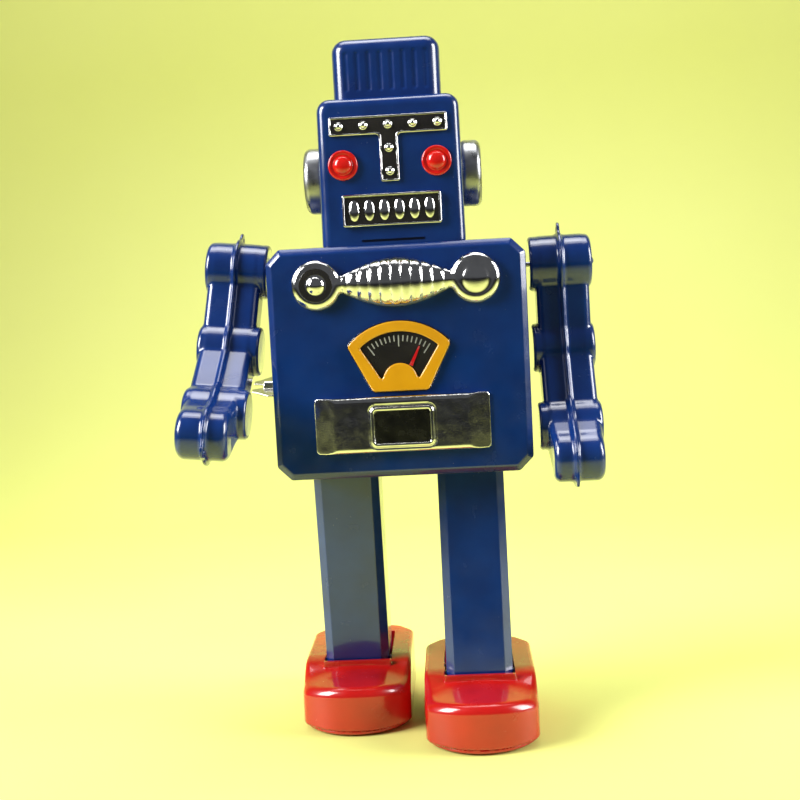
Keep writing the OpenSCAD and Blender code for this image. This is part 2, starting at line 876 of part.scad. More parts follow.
translate(body_middle) body_front();
translate(body_middle) body_back();
translate(body_middle) bottom_plate();
translate(body_middle) head_shell();
translate(body_middle) head_back();
translate(body_middle) head_cap();
translate(body_middle) brow_plate();
translate(body_middle) brow_rivets();
translate(body_middle) eye(right);  // right_eye
translate(body_middle) eye(left);  // left_eye
translate(body_middle) mouth_plate();
translate(body_middle) ear(right);  // right_ear
translate(body_middle) ear(left);  // left_ear
translate(body_middle) chest_ornament();
translate(body_middle) ornament_ring();
translate(body_middle) gauge_bezel();
translate(body_middle) gauge_dial();
translate(body_middle) gauge_needle();
translate(body_middle) belly_plate();
translate(body_middle) motor_plate(right);  // motor_plate_right
translate(body_middle) motor_plate(left);  // motor_plate_left
translate(body_middle) motor_pillars();
translate(body_middle) hip_shaft();
translate(body_middle) axle_bearing(right);  // right_axle_bearing
translate(body_middle) axle_bearing(left);  // left_axle_bearing
translate(body_middle) mainspring();
translate(body_middle) winding_key();
translate(body_middle) key_arbor();
translate(body_middle) great_wheel();
translate(body_middle) click();
translate(body_middle) second_wheel();
translate(body_middle) crank_shaft();
translate(body_middle) governor();
translate(body_middle) arm_outer(right);  // right_arm_outer
translate(body_middle) arm_inner(right);  // right_arm_inner
translate(body_middle) arm_axle(right);  // right_arm_axle
translate(body_middle) arm_outer(left);  // left_arm_outer
translate(body_middle) arm_inner(left);  // left_arm_inner
translate(body_middle) arm_axle(left);  // left_arm_axle
translate(body_middle) leg_tube(right);  // right_leg_tube
translate(body_middle) leg_bracket(right);  // right_leg_bracket
translate(body_middle) leg_tube(left);  // left_leg_tube
translate(body_middle) leg_bracket(left);  // left_leg_bracket
translate(body_middle) foot_shell(right);  // right_foot_shell
translate(body_middle) sole_plate(right);  // right_sole_plate
translate(body_middle) ankle_pin(right);  // right_ankle_pin
translate(body_middle) roller_pins(right);  // right_roller_pins
translate(body_middle) roller(right, roller_y[0]);  // right_front_roller
translate(body_middle) roller(right, roller_y[1]);  // right_rear_roller
translate(body_middle) foot_shell(left);  // left_foot_shell
translate(body_middle) sole_plate(left);  // left_sole_plate
translate(body_middle) ankle_pin(left);  // left_ankle_pin
translate(body_middle) roller_pins(left);  // left_roller_pins
translate(body_middle) roller(left, roller_y[0]);  // left_front_roller
translate(body_middle) roller(left, roller_y[1]);  // left_rear_roller
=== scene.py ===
"""Looks for the walking tin robot: pressed shells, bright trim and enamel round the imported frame.

Sizes in the builders are millimetres about the body's middle line (+Z up, face along -Y, the robot's
left +X); meshes are written in metres in the row frame. Most pressings are signed distances meshed
with surface nets.
"""

import json
import math

import bpy
import numpy as np
from mathutils import Matrix, Vector


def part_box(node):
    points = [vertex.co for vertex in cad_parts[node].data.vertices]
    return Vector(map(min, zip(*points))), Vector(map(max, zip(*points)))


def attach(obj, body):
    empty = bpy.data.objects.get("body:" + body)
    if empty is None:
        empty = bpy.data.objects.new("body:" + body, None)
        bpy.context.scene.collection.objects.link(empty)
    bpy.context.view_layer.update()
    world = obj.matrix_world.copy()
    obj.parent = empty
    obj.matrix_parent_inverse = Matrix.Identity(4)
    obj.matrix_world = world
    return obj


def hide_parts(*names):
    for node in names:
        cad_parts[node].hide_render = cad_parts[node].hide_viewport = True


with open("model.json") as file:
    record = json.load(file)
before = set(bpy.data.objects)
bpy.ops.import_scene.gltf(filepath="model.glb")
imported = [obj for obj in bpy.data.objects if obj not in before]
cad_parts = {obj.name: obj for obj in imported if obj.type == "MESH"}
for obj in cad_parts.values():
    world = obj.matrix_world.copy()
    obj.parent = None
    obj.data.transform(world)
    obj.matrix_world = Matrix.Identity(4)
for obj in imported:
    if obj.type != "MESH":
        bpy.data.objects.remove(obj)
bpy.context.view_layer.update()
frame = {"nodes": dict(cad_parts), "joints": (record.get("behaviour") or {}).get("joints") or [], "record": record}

MM = 0.001
RIGHT = -1
LEFT = 1
SIDES = {"right": RIGHT, "left": LEFT}


front_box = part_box("body_front")
back_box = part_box("body_back")
body_middle = np.array([
    (front_box[0][0] + front_box[1][0]) / 2,
    (front_box[0][1] + back_box[1][1]) / 2,
    0,
]) / MM


def node_box(name):
    """Low and high corners of a frame node, in millimetres from the body's middle line."""
    lo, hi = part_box(name)
    return np.array(lo) / MM - body_middle, np.array(hi) / MM - body_middle


def joint_place(name):
    """Where a joint's axis passes, in millimetres."""
    joint = next(j for j in frame["joints"] if j["name"] == name)
    return np.array(joint["pos_m"]) / MM - body_middle


# ---- Sizes read from the frame ----

front_lo, front_hi = node_box("body_front")
back_hi = node_box("body_back")[1]
head_lo, head_hi = node_box("head_shell")
head_rear_hi = node_box("head_back")[1]
cap_lo, cap_hi = node_box("head_cap")
body_hw = front_hi[0]
body_z0 = front_lo[2]
body_z1 = front_hi[2]
front_y = front_lo[1]
cover_y = front_hi[1]
back_y = back_hi[1]
head_hw = head_hi[0]
face_y = head_lo[1]
head_z0 = head_lo[2]
head_z1 = cap_lo[2]
ground = 0.0


# ---- Signed distances. Each returns millimetres, negative inside ----

def length(*parts):
    return np.sqrt(sum(p * p for p in parts))


def join(a, b, k):
    """Union with a fillet about k wide."""
    h = np.clip(0.5 + 0.5 * (b - a) / k, 0, 1)
    return b + (a - b) * h - k * h * (1 - h)


def meet(a, b, k):
    """Intersection with an edge rounded about k wide."""
    return -join(-a, -b, k)


def disc(u, v, centre, radius):
    return length(u - centre[0], v - centre[1]) - radius


def bar(u, v, a, b, half_width):
    """Straight stretch with round ends from a to b."""
    run = np.subtract(b, a)
    along = ((u - a[0]) * run[0] + (v - a[1]) * run[1]) / np.dot(run, run)
    along = np.clip(along, 0, 1)
    return length(u - a[0] - along * run[0], v - a[1] - along * run[1]) - half_width


def rect(u, v, half_w, half_h, radius):
    qu = np.abs(u) - half_w + radius
    qv = np.abs(v) - half_h + radius
    return length(np.maximum(qu, 0), np.maximum(qv, 0)) + np.minimum(np.maximum(qu, qv), 0) - radius


def polygon(u, v, points):
    """Distance to a closed outline of straight edges."""
    best = np.full(np.broadcast(u, v).shape, 1e9)
    inside = np.zeros(best.shape, dtype=bool)
    for a, b in zip(points, points[1:] + points[:1]):
        best = np.minimum(best, bar(u, v, a, b, 0.0))
        crosses = (a[1] > v) != (b[1] > v)
        slope = (b[0] - a[0]) / (b[1] - a[1] + 1e-12)
        inside ^= crosses & (u < a[0] + (v - a[1]) * slope)
    return np.where(inside, -best, best)


def pressed(outline, height, top, radius):
    """Everything under top inside the outline, with the upper edge rounded."""
    across = outline + radius
    above = height - top + radius
    outside = length(np.maximum(across, 0), np.maximum(above, 0))
    return outside + np.minimum(np.maximum(across, above), 0) - radius


# ---- Meshing ----

CORNERS = [np.array([i, j, k]) for i in (0, 1) for j in (0, 1) for k in (0, 1)]
UNIT = np.eye(3, dtype=int)


def slope_of(distance, points, step=0.02):
    slopes = [
        distance(*(points + step * axis).T) - distance(*(points - step * axis).T) for axis in np.eye(3)
    ]
    return np.stack(slopes, axis=1) / (2 * step)


def net(distance, lo, hi, cell):
    """Surface nets: one vertex in each cell that the surface crosses, drawn onto the surface."""
    lo = np.asarray(lo, dtype=float) - 1.5 * cell
    count = np.ceil((np.asarray(hi) + 1.5 * cell - lo) / cell).astype(int) + 1
    axes = [lo[i] + cell * np.arange(count[i]) for i in range(3)]
    field = np.broadcast_to(distance(*np.meshgrid(*axes, indexing="ij", sparse=True)), count)
    solid = field < 0
    filled = sum(
        solid[c[0]:count[0] - 1 + c[0], c[1]:count[1] - 1 + c[1], c[2]:count[2] - 1 + c[2]].astype(int)
        for c in CORNERS
    )
    cells = np.argwhere((filled > 0) & (filled < 8))
    number = np.full(count - 1, -1)
    number[tuple(cells.T)] = np.arange(len(cells))
    total = np.zeros((len(cells), 3))
    hits = np.zeros(len(cells))
    for corner in CORNERS:
        for axis in UNIT[corner == 0]:
            a = field[tuple((cells + corner).T)]
            b = field[tuple((cells + corner + axis).T)]
            crossed = (a < 0) != (b < 0)
            t = np.where(crossed, a / np.where(crossed, a - b, 1), 0)
            total += crossed[:, None] * (corner + t[:, None] * axis)
            hits += crossed
    points = lo + cell * (cells + total / hits[:, None])
    for _ in range(3):
        slope = slope_of(distance, points)
        steep = np.maximum((slope * slope).sum(axis=1), 0.2)
        move = np.clip(distance(*points.T) / steep, -cell / 2, cell / 2)
        points -= move[:, None] * slope
    faces = []
    for axis in range(3):
        u, v = UNIT[(axis + 1) % 3], UNIT[(axis + 2) % 3]
        lower = np.delete(solid, -1, axis)
        upper = np.delete(solid, 0, axis)
        edge = np.argwhere(lower != upper)
        quad = np.stack([number[tuple((edge - off).T)] for off in (u + v, v, 0 * u, u)], axis=1)
        turned = ~lower[tuple(edge.T)]
        quad[turned] = quad[turned][:, ::-1]
        faces.append(quad)
    normals = slope_of(distance, points)
    normals /= np.maximum(length(*normals.T), 1e-9)[:, None]
    return points, np.concatenate(faces), normals


def circle_points(radius, count=64):
    turn = np.linspace(0, 2 * math.pi, count, endpoint=False)
    return np.stack([radius * np.cos(turn), radius * np.sin(turn)], axis=1)


def loft(rings, ends=True, loop=False):
    """Quads between rings of equally many points, with the two end rings filled."""
    size = len(rings[0])
    verts = np.concatenate(rings)
    faces = []
    last = len(rings) if loop else len(rings) - 1
    for r in range(last):
        a = r * size
        b = (r + 1) % len(rings) * size
        for i in range(size):
            j = (i + 1) % size
            faces.append((a + i, a + j, b + j, b + i))
    if ends and not loop:
        faces.append(tuple(reversed(range(size))))
        faces.append(tuple(range(len(verts) - size, len(verts))))
    return verts, faces


def turned(profile, count=64):
    """Rings of a shape turned about +Z from (radius, height) pairs."""
    return [np.c_[circle_points(r, count), np.full(count, h)] for r, h in profile]


def arc(centre, radius, start, stop, count=6):
    """(radius, height) pairs along an arc, angles in degrees."""
    angles = np.radians(np.linspace(start, stop, count))
    return [(centre[0] + radius * math.cos(a), centre[1] + radius * math.sin(a)) for a in angles]


def add(name, verts, faces, body, paint, slot, replaces=(), normals=None):
    """Makes a piece from millimetre vertices and lets it ride on its body."""
    mesh = bpy.data.meshes.new(name)
    mesh.from_pydata(((verts + body_middle) * MM).tolist(), [], [tuple(map(int, f)) for f in faces])
    mesh.update()
    mesh.polygons.foreach_set("use_smooth", [True] * len(mesh.polygons))
    piece = bpy.data.objects.new(name, mesh)
    bpy.context.scene.collection.objects.link(piece)
    mesh.materials.append(paint)
    if normals is not None:
        mesh.normals_split_custom_set_from_vertices(np.asarray(normals).tolist())
    else:
        mesh.set_sharp_from_angle(angle=math.radians(35))
        weighted = piece.modifiers.new("weighted", "WEIGHTED_NORMAL")
        weighted.keep_sharp = True
        weighted.weight = 90
    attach(piece, body)
    if replaces:
        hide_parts(*replaces)
    return piece


def carve(piece, verts, faces):
    """Cuts a closed solid away from a piece."""
    mesh = bpy.data.meshes.new("cutter")
    mesh.from_pydata(((verts + body_middle) * MM).tolist(), [], [tuple(map(int, f)) for f in faces])
    cutter = bpy.data.objects.new("cutter", mesh)
    bpy.context.scene.collection.objects.link(cutter)
    cut = piece.modifiers.new("cut", "BOOLEAN")
    cut.object = cutter
    cut.solver = "EXACT"
    piece.modifiers.move(len(piece.modifiers) - 1, 0)
    shown = piece.evaluated_get(bpy.context.evaluated_depsgraph_get())
    result = bpy.data.meshes.new_from_object(shown)
    piece.modifiers.clear()
    piece.data = result
    bpy.data.objects.remove(cutter)


def placed(points, matrix):
    return points @ np.array(matrix.to_3x3()).T + np.array(matrix.translation)


def add_net(name, distance, lo, hi, cell, body, paint, slot, replaces=(), matrix=None, marks=None):
    """A pressing from its distance; marks maps attribute names to functions of the local place."""
    points, faces, normals = net(distance, lo, hi, cell)
    values = {key: mark(*points.T) for key, mark in (marks or {}).items()}
    if matrix is not None:
        points = placed(points, matrix)
        normals = normals @ np.array(matrix.to_3x3()).T
        if matrix.determinant() < 0:
            faces = faces[:, ::-1]
    piece = add(name, points, faces, body, paint, slot, replaces, normals)
    for key, value in values.items():
        layer = piece.data.attributes.new(key, "FLOAT", "POINT")
        layer.data.foreach_set("value", np.asarray(value, dtype=np.float32))
    return piece


# ---- Materials ----

class Shader:
    """A material with a Principled shader, and short ways to add nodes to it."""

    def __init__(self, name, colour, roughness, metallic=0.0, coat=0.0):
        self.material = bpy.data.materials.new(name)
        self.material.use_nodes = True
        self.nodes = self.material.node_tree.nodes
        self.links = self.material.node_tree.links
        self.bsdf = self.nodes["Principled BSDF"]
        self.bsdf.inputs["Base Color"].default_value = (*colour, 1)
        self.bsdf.inputs["Roughness"].default_value = roughness
        self.bsdf.inputs["Metallic"].default_value = metallic
        self.bsdf.inputs["Coat Weight"].default_value = coat
        self.bsdf.inputs["Coat Roughness"].default_value = 0.04
        self.place = self.nodes.new("ShaderNodeTexCoord").outputs["Object"]

    def set(self, node, key, value):
        if isinstance(value, bpy.types.NodeSocket):
            self.links.new(value, node.inputs[key])
        else:
            node.inputs[key].default_value = value

    def math(self, operation, a, b=0.0, clamp=False):
        node = self.nodes.new("ShaderNodeMath")
        node.operation = operation
        node.use_clamp = clamp
        self.set(node, 0, a)
        self.set(node, 1, b)
        return node.outputs[0]

    def span(self, value, low, high, to_low=0.0, to_high=1.0):
        node = self.nodes.new("ShaderNodeMapRange")
        for key, given in enumerate((value, low, high, to_low, to_high)):
            self.set(node, key, given)
        return node.outputs[0]

    def noise(self, scale, detail=2.0, stretch=(1, 1, 1)):
        mapping = self.nodes.new("ShaderNodeMapping")
        mapping.inputs["Scale"].default_value = stretch
        self.links.new(self.place, mapping.inputs["Vector"])
        node = self.nodes.new("ShaderNodeTexNoise")
        node.inputs["Scale"].default_value = scale
        node.inputs["Detail"].default_value = detail
        self.links.new(mapping.outputs[0], node.inputs["Vector"])
        return node.outputs["Fac"]

    def specks(self, scale, size):
        """Scattered dots, one in most cells of a Voronoi pattern."""
        node = self.nodes.new("ShaderNodeTexVoronoi")
        node.inputs["Scale"].default_value = scale
        self.links.new(self.place, node.inputs["Vector"])
        return self.span(node.outputs["Distance"], size, size * 0.5)

    def worn(self, low, high):
        """Highest along the outer edges."""
        node = self.nodes.new("ShaderNodeNewGeometry")
        return self.span(node.outputs["Pointiness"], low, high)

    def mark(self, name):
        node = self.nodes.new("ShaderNodeAttribute")
        node.attribute_name = name
        return node.outputs["Fac"]

    def mix(self, factor, a, b):
        node = self.nodes.new("ShaderNodeMix")
        node.data_type = "RGBA"
        self.set(node, "Factor", factor)
        for key, value in ((6, a), (7, b)):
            self.set(node, key, value if isinstance(value, bpy.types.NodeSocket) else (*value, 1))
        return node.outputs[2]

    def colour(self, value):
        self.links.new(value, self.bsdf.inputs["Base Color"])

    def rough(self, value):
        self.links.new(value, self.bsdf.inputs["Roughness"])

    def metal(self, value):
        self.links.new(value, self.bsdf.inputs["Metallic"])

    def bump(self, height, distance, strength=1.0):
        node = self.nodes.new("ShaderNodeBump")
        node.inputs["Distance"].default_value = distance
        node.inputs["Strength"].default_value = strength
        self.links.new(height, node.inputs["Height"])
        before = self.bsdf.inputs["Normal"]
        if before.is_linked:
            self.links.new(before.links[0].from_socket, node.inputs["Normal"])
        self.links.new(node.outputs[0], before)


def enamel(name, colour, deep, dust=0.35, wear=(0.62, 0.75)):
    """Gloss paint on tin: uneven depth, fine orange peel, dust specks and rubbed edges."""
    s = Shader(name, colour, 0.2, coat=0.6)
    shade = s.mix(s.span(s.noise(90, 3), 0.3, 0.7), colour, deep)
    dusty = s.math("MULTIPLY", s.specks(520, 0.07), s.span(s.noise(60, 4), 0.55, 0.7, 0, dust))
    shade = s.mix(dusty, shade, (0.75, 0.76, 0.74))
    rubbed = s.math("MULTIPLY", s.worn(*wear), s.span(s.noise(240, 4), 0.5, 0.66, 0, 0.6))
    shade = s.mix(rubbed, shade, (0.42, 0.42, 0.42))
    s.colour(shade)
    s.rough(s.span(s.noise(140, 5), 0.3, 0.75, 0.14, 0.3))
    s.bump(s.noise(1400, 1), 0.000012)
    s.bump(s.noise(70, 1), 0.00018)
    return s


def bright(name, colour, low, high, wave=0.00012):
    """Plated pressing: smudges, hairline scratches and the slow ripple of thin sheet."""
    s = Shader(name, colour, low, metallic=1.0)
    tarnish = s.span(s.noise(180, 5), 0.45, 0.8)
    s.colour(s.mix(tarnish, colour, tuple(c * 0.72 for c in colour)))
    s.rough(s.span(s.noise(260, 6), 0.35, 0.75, low, high))
    s.bump(s.noise(900, 3, (1, 1, 14)), 0.00001)
    s.bump(s.noise(150, 1), wave)
    return s


blue = enamel("blue_enamel", (0.004, 0.030, 0.17), (0.003, 0.021, 0.125)).material
red = enamel("red_enamel", (0.50, 0.008, 0.006), (0.40, 0.006, 0.005)).material
yellow = enamel("yellow_enamel", (0.72, 0.34, 0.008), (0.64, 0.29, 0.006)).material
black = enamel("black_enamel", (0.012, 0.011, 0.011), (0.02, 0.018, 0.017)).material
white_paint = enamel("dial_white", (0.36, 0.37, 0.36), (0.26, 0.27, 0.26)).material
red_paint = enamel("needle_red", (0.60, 0.01, 0.015), (0.50, 0.008, 0.012)).material
chrome = bright("bright_plate", (0.80, 0.80, 0.79), 0.05, 0.16).material
dull_tin = bright("dull_tin", (0.42, 0.43, 0.44), 0.24, 0.42, 0.0003).material
key_steel = bright("key_nickel", (0.62, 0.61, 0.58), 0.16, 0.34).material
rubber = enamel("roller_rubber", (0.018, 0.018, 0.018), (0.03, 0.03, 0.028)).material
black_tin = enamel("blackened_tin", (0.02, 0.02, 0.022), (0.03, 0.028, 0.026)).material
motor_steel = bright("motor_steel", (0.40, 0.41, 0.43), 0.28, 0.45).material
dark_steel = bright("window_steel", (0.07, 0.07, 0.075), 0.2, 0.36).material
brass = bright("stamped_brass", (0.66, 0.47, 0.17), 0.2, 0.38).material


def lens_red():
    """Moulded red plastic: smooth, a little cloudy inside."""
    s = Shader("lens_red", (0.62, 0.010, 0.006), 0.16, coat=0.5)
    s.colour(s.mix(s.noise(500, 2), (0.66, 0.012, 0.007), (0.52, 0.006, 0.004)))
    s.rough(s.span(s.noise(400, 4), 0.3, 0.7, 0.12, 0.24))
    s.bump(s.noise(900, 2), 0.00001)
    return s.material


def arm_enamel():
    """Blue enamel, left bare and polished on the bosses' inner discs, with a black line round them."""
    s = enamel("arm_enamel", (0.004, 0.030, 0.17), (0.003, 0.021, 0.125))
    painted = s.bsdf.inputs["Base Color"].links[0].from_socket
    painted_rough = s.bsdf.inputs["Roughness"].links[0].from_socket
    disc_edge = s.mark("bare")
    bare = s.span(disc_edge, 0.0, 0.12)
    line = s.span(disc_edge, -0.55, -0.45)
    polished = s.mix(s.noise(200, 4), (0.80, 0.80, 0.79), (0.66, 0.66, 0.66))
    s.colour(s.mix(bare, s.mix(line, painted, (0.006, 0.006, 0.008)), polished))
    s.metal(bare)
    polished_rough = s.span(s.noise(260, 5), 0.35, 0.75, 0.05, 0.14)
    rough_mix = s.nodes.new("ShaderNodeMix")
    s.set(rough_mix, "Factor", bare)
    s.set(rough_mix, 2, painted_rough)
    s.set(rough_mix, 3, polished_rough)
    s.rough(rough_mix.outputs[0])
    return s.material


lens = lens_red()
arm_paint = arm_enamel()


# ---- Body ----

def cut_outline(half_w, half_h, corner, rounding, steps=4):
    """Points of a rectangle with cut corners, each bend rounded; bends lie 45 degrees apart."""
    reach = rounding * math.tan(math.pi / 8)
    bends = [
        (half_w, corner - half_h), (half_w, half_h - corner),
        (half_w - corner, half_h), (corner - half_w, half_h),
        (-half_w, half_h - corner), (-half_w, corner - half_h),
        (corner - half_w, -half_h), (half_w - corner, -half_h),
    ]
    points = []
    for i, bend in enumerate(bends):
        before = np.subtract(bend, bends[i - 1])
        before = before / np.hypot(*before)
        inward = np.array([-before[1], before[0]])
        centre = np.array(bend) - before * reach + inward * rounding
        start = math.atan2(-inward[1], -inward[0])
        for step in range(steps + 1):
            angle = start + math.pi / 4 * step / steps
            points.append(centre + rounding * np.array([math.cos(angle), math.sin(angle)]))
    return np.array(points)


body_corner = 4.5        # cut across each corner of the front outline
body_bevel = 1.8         # slope round the front and back faces
tin = 0.6
opening_hw = 34.0        # half width and half depth of the opening that the legs hang through
opening_hd = 18.0


def body_ring(y, inset):
    """The body's outline at one depth, drawn in by inset."""
    half_w = body_hw - inset
    half_h = (body_z1 - body_z0) / 2 - inset
    outline = cut_outline(half_w, half_h, body_corner - 0.6 * inset, 1.6 - min(inset, 1.2) * 0.4)
    mid_z = (body_z0 + body_z1) / 2
    return np.c_[outline[:, 0], np.full(len(outline), y), mid_z + outline[:, 1]]


def body_rings(face, rim, away):
    """A pan's rings: flat face, sloped bevel with soft bends, side, then back inside the tin."""
    rings = [
        body_ring(face, body_bevel + 0.7), body_ring(face + away * 0.06, body_bevel + 0.3),
        body_ring(face + away * 0.25, body_bevel - 0.05), body_ring(face + away * (body_bevel - 0.35), 0.28),
        body_ring(face + away * body_bevel, 0.07), body_ring(face + away * (body_bevel + 0.45), 0.0),
        body_ring(rim - away * 0.25, 0.0), body_ring(rim, 0.2), body_ring(rim, tin),
        body_ring(face + away * (body_bevel + tin), tin), body_ring(face + away * tin, tin + body_bevel),
    ]
    return rings if away > 0 else [ring[::-1] for ring in rings]


def make_body():
    verts, faces = loft([r[::-1] for r in body_rings(front_y, cover_y - 0.08, 1)])
    shell = add("body_front_shell", verts, faces, "torso", blue, "blue_tin", ["body_front"])
    corners = [(opening_hw, -opening_hd), (opening_hw, opening_hd),
               (-opening_hw, opening_hd), (-opening_hw, -opening_hd)]
    opening = [np.array([[x, y, z] for x, y in corners]) for z in (body_z0 - 2, body_z0 + 2)]
    carve(shell, *loft(opening))
    verts, faces = loft([r[::-1] for r in body_rings(back_y, cover_y + 0.02, -1)])
    add("body_rear_cover", verts, faces, "torso", blue, "blue_tin", ["body_back"])


# ---- Head ----

def rounded_outline(half_w, half_h, top_r, foot_r, steps=6):
    """A rectangle with rounder corners at its top than at its foot."""
    points = []
    for i, (sx, sy, radius) in enumerate(((1, 1, top_r), (-1, 1, top_r), (-1, -1, foot_r), (1, -1, foot_r))):
        for step in range(steps + 1):
            angle = math.radians(90 * (i + step / steps))
            points.append((sx * (half_w - radius) + radius * math.cos(angle),
                           sy * (half_h - radius) + radius * math.sin(angle)))
    return np.array(points)


head_edge = 3.3          # rounding from the face to the sides
head_corner = 4.2        # rounding of the face's outline at the top
head_foot_r = 0.6        # and where the head stands on the body
head_narrowing = 0.9     # how much narrower the head is at its top
slot_hw = 10.2           # half width of the slot under the mouth
slot_z0 = head_z0 + 0.9
slot_z1 = head_z0 + 1.7


def head_ring(y, inset):
    """The head's outline at one depth, drawn in by inset except at its foot."""
    half_h = (head_z1 - head_z0 - inset) / 2
    outline = rounded_outline(head_hw - inset, half_h, max(head_corner - 0.55 * inset, 1.2), head_foot_r)
    z = head_z0 + half_h + outline[:, 1]
    narrowing = 1 - head_narrowing / 2 / head_hw * (z - head_z0) / (head_z1 - head_z0)
    return np.c_[outline[:, 0] * narrowing, np.full(len(outline), y), z]


def make_head():
    rear_y = head_rear_hi[1]
    seam_y = head_hi[1]
    bends = arc((0, 0), head_edge, 0, 90, 7)
    face_rings = [head_ring(face_y + head_edge - h, head_edge - r) for r, h in reversed(bends)]
    rings = face_rings + [head_ring(seam_y - 0.3, 0), head_ring(seam_y - 0.05, 0.15)]
    shell = add("head_skin", *loft([r[::-1] for r in rings]), "torso", blue, "blue_tin", ["head_shell"])
    corners = [(-slot_hw, slot_z0), (slot_hw, slot_z0), (slot_hw, slot_z1), (-slot_hw, slot_z1)]
    slot = [np.array([[x, y, z] for x, z in corners]) for y in (face_y - 2, face_y + 2)]
    carve(shell, *loft([s[::-1] for s in slot]))
    rear = [head_ring(seam_y + 0.05, 0.15), head_ring(seam_y + 0.3, 0)]
    rear += [head_ring(rear_y - 0.9 + h, 0.9 - r) for r, h in arc((0, 0), 0.9, 0, 90, 5)]
    add("head_rear_cover", *loft([r[::-1] for r in rear]), "torso", blue, "blue_tin", ["head_back"])


cap_flute_pitch = 3.7


def cap_distance(x, y, z):
    """Rounded block with eight shallow upright flutes in its front."""
    half_w = cap_hi[0]
    half_d = cap_hi[1]
    plan = rect(x, y, half_w, half_d, 5.0)
    block = pressed(plan, z, cap_hi[2], 4.4)
    flute_z = np.clip(z, cap_lo[2] + 3.2, cap_hi[2] - 5.4)
    nearest = (np.clip(np.round(x / cap_flute_pitch - 0.5), -4, 3) + 0.5) * cap_flute_pitch
    flute = length(x - nearest, y + half_d + 0.8, z - flute_z) - 1.1
    grooved = meet(block, -flute, 0.4)
    return np.maximum(grooved, cap_lo[2] - z)


def make_cap():
    add_net("head_cap_skin", cap_distance, cap_lo, cap_hi, 0.42, "torso", blue, "blue_tin", ["head_cap"])


# ---- Face trim: heights are measured outwards from the face ----

brow_z = (node_box("brow_plate")[1][2] * 2 - 5.9) / 2
brow_hw = node_box("brow_plate")[1][0]
brow_hh = 2.95
stem_hw = 3.0
stem_z0 = node_box("brow_plate")[0][2]
rivet_pitch = 7.9
stem_rivet_pitch = 7.35


def brow_outline(x, z):
    across = rect(x, z - brow_z, brow_hw, brow_hh, 0.5)
    mid = (brow_z + stem_z0) / 2
    down = rect(x, z - mid, stem_hw, brow_z - mid, 0.5)
    return join(across, down, 1.6)


def brow_trim(x, y, z):
    outline = brow_outline(x, z)
    plate = pressed(outline, face_y - y, 0.85, 0.25)
    field = np.maximum(outline + 0.62, y - face_y + 0.6)
    return np.maximum(meet(plate, -field, 0.15), y - face_y)


def brow_field(x, y, z):
    return np.maximum(pressed(brow_outline(x, z) + 0.55, face_y - y, 0.66, 0.05), y - face_y)


def make_brow():
    lo, hi = node_box("brow_plate")
    add_net("brow_trim", brow_trim, lo, hi, 0.28, "torso", chrome, "bright_tin")
    add_net("brow_field", brow_field, lo, hi, 0.35, "torso", black, "black_paint", ["brow_plate"])


def front_turned(profile, x, z, base_y, count=40):
    """A turned shape standing on a plane that faces -Y."""
    rings = [np.c_[x + r[:, 0], base_y - r[:, 2], z + r[:, 1]] for r in turned(profile, count)]
    return loft(rings)


def combined(parts):
    verts = []
    faces = []
    start = 0
    for part_verts, part_faces in parts:
        verts.append(part_verts)
        faces += [tuple(i + start for i in face) for face in part_faces]
        start += len(part_verts)
    return np.concatenate(verts), faces


def make_rivets():
    profile = [(1.35, 0), (1.35, 0.12), (1.25, 0.2)] + arc((0, 0.1), 1.12, 12, 86, 6)
    places = [(i * rivet_pitch, brow_z) for i in range(-2, 3)]
    places += [(0, brow_z - i * stem_rivet_pitch) for i in (1, 2)]
    heads = combined([front_turned(profile, x, z, face_y - 0.6, 24) for x, z in places])
    add("brow_rivet_heads", *heads, "torso", chrome, "bright_tin", ["brow_rivets"])


def make_eyes():
    profile = [(4.6, 0), (4.8, 0.25)] + arc((4.2, 0.75), 0.6, 0, 90, 5)
    profile += [(3.8, 1.3), (3.5, 1.12), (3.2, 1.08)]
    profile += [(2.9 * math.cos(a), 1.15 + 1.6 * math.sin(a)) for a in np.linspace(0.1, 1.5, 8)]
    for side_name in SIDES:
        lo, hi = node_box(f"{side_name}_eye")
        centre = (lo + hi) / 2
        shape = front_turned(profile, centre[0], centre[2], face_y, 56)
        add(f"{side_name}_eye_lens", *shape, "torso", lens, "red_lens", [f"{side_name}_eye"])


mouth_lo, mouth_hi = node_box("mouth_plate")
mouth_z = (mouth_lo[2] + mouth_hi[2]) / 2
mouth_hw = mouth_hi[0]
mouth_hh = (mouth_hi[2] - mouth_lo[2]) / 2
tooth_pitch = 4.85
mouth_floor = 0.75


def mouth_distance(x, y, z):
    height = face_y - y
    outline = rect(x, z - mouth_z, mouth_hw, mouth_hh, 0.7)
    plate = pressed(outline, height, 1.45, 0.45)
    field = np.maximum(outline + 0.75, mouth_floor - height)
    tray = meet(plate, -field, 0.3)
    nearest = (np.clip(np.round(x / tooth_pitch - 0.5), -3, 2) + 0.5) * tooth_pitch
    tooth = (length((x - nearest) / 1.75, (z - mouth_z) / 3.6, (height - 0.4) / 1.15) - 1) * 1.3
    return np.maximum(join(tray, tooth, 0.2), -height)


def mouth_field(x, y, z):
    outline = rect(x, z - mouth_z, mouth_hw - 0.6, mouth_hh - 0.6, 0.4)
    return np.maximum(pressed(outline, face_y - y, mouth_floor + 0.12, 0.05), y - face_y)


def make_mouth():
    hi = mouth_hi + (0, 0.2, 0)
    add_net("mouth_teeth", mouth_distance, mouth_lo, hi, 0.3, "torso", chrome, "bright_tin", ["mouth_plate"])
    add_net("mouth_paint", mouth_field, mouth_lo, hi, 0.4, "torso", black, "black_paint")


